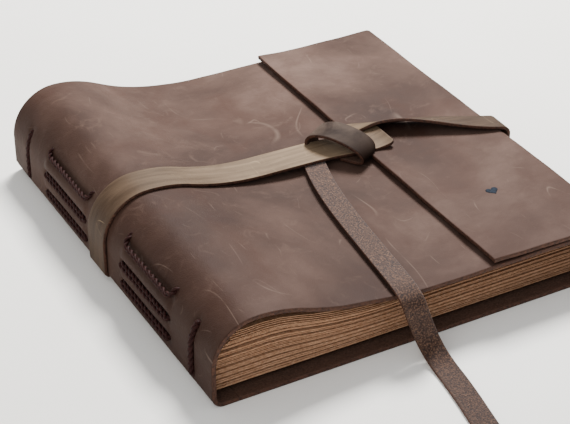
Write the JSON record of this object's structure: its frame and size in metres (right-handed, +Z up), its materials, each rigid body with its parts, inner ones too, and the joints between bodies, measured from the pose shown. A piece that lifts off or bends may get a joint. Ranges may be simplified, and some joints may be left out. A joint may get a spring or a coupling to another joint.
{
  "type": "wedding guest book",
  "caption": "Soft leather wrap-around guest book with a long-stitched spine, kraft pages, a fore-edge flap and a tucked strap.",
  "frame": {"origin": "middle of the closed book's underside, on the surface it lies on", "axes": "+X from the spine to the fore-edge, +Y from the tail edge to the head edge along the spine, +Z up out of the front cover"},
  "size_m": [0.2424, 0.35, 0.0489],
  "materials": {
    "cover_leather": "oiled pull-up leather, matt with a soft waxy sheen and scuffs",
    "strap_leather": "same leather cut to a strap, smooth outside and rough inside",
    "kraft_paper": "uncoated brown kraft sheets",
    "waxed_thread": "twisted and waxed dark brown thread"
  },
  "bodies": {
    "root": {"back_cover": "cover_leather", "spine_cover": "cover_leather", "fore_edge_cover": "cover_leather", "signature_1": "kraft_paper", "signature_2": "kraft_paper", "signature_3": "kraft_paper", "head_row_1": "waxed_thread", "head_row_2": "waxed_thread", "head_row_3": "waxed_thread", "tail_row_1": "waxed_thread", "tail_row_2": "waxed_thread", "tail_row_3": "waxed_thread", "head_end_stitch": "waxed_thread", "tail_end_stitch": "waxed_thread", "strap_inner": "strap_leather", "strap_spine": "strap_leather", "strap_edge": "strap_leather"},
    "front_cover": {"front_cover": "cover_leather"},
    "flap": {"cover_flap": "cover_leather", "strap_flap": "strap_leather"},
    "leaf_1": {"leaf_1": "kraft_paper"},
    "leaf_2": {"leaf_2": "kraft_paper"},
    "leaf_3": {"leaf_3": "kraft_paper"},
    "strap": {"strap_front": "strap_leather", "strap_loop": "strap_leather", "strap_tail_upper": "strap_leather"},
    "strap_end": {"strap_tail_end": "strap_leather"}
  },
  "joints": [
    {"name": "cover_turn", "type": "hinge", "parent": "root", "child": "front_cover", "pos_m": [-0.0948, 0, 0.0464], "axis": [0, -1, 0], "range_deg": [0, 180]},
    {"name": "flap_fold", "type": "hinge", "parent": "root", "child": "flap", "pos_m": [0.1212, 0, 0.0328], "axis": [0, 1, 0], "range_deg": [0, 180], "deforming": ["cover_flap", "strap_flap"]},
    {"name": "leaf_1_turn", "type": "hinge", "parent": "root", "child": "leaf_1", "pos_m": [-0.0935, 0, 0.0464], "axis": [0, -1, 0], "range_deg": [0, 25]},
    {"name": "leaf_2_turn", "type": "hinge", "parent": "root", "child": "leaf_2", "pos_m": [-0.0935, 0, 0.0464], "axis": [0, -1, 0], "range_deg": [0, 90]},
    {"name": "leaf_3_turn", "type": "hinge", "parent": "root", "child": "leaf_3", "pos_m": [-0.0935, 0, 0.0464], "axis": [0, -1, 0], "range_deg": [0, 162]},
    {"name": "strap_swing", "type": "hinge", "parent": "root", "child": "strap", "pos_m": [-0.0948, 0, 0.0464], "axis": [0, -1, 0], "range_deg": [0, 189], "deforming": ["strap_front", "strap_loop", "strap_tail_upper"]},
    {"name": "strap_end_droop", "type": "hinge", "parent": "strap", "child": "strap_end", "pos_m": [-0.014, -0.126, 0.033], "axis": [-1, 0, 0], "range_deg": [0, 40], "deforming": ["strap_tail_end"]}
  ],
  "couplings": [
    {"joint": "flap_fold", "follows": "cover_turn", "ratio": 1},
    {"joint": "leaf_1_turn", "follows": "cover_turn", "ratio": 0.13889},
    {"joint": "leaf_2_turn", "follows": "cover_turn", "ratio": 0.5},
    {"joint": "leaf_3_turn", "follows": "cover_turn", "ratio": 0.9},
    {"joint": "strap_swing", "follows": "cover_turn", "ratio": 1.05},
    {"joint": "strap_end_droop", "follows": "cover_turn", "ratio": 0.22222}
  ]
}
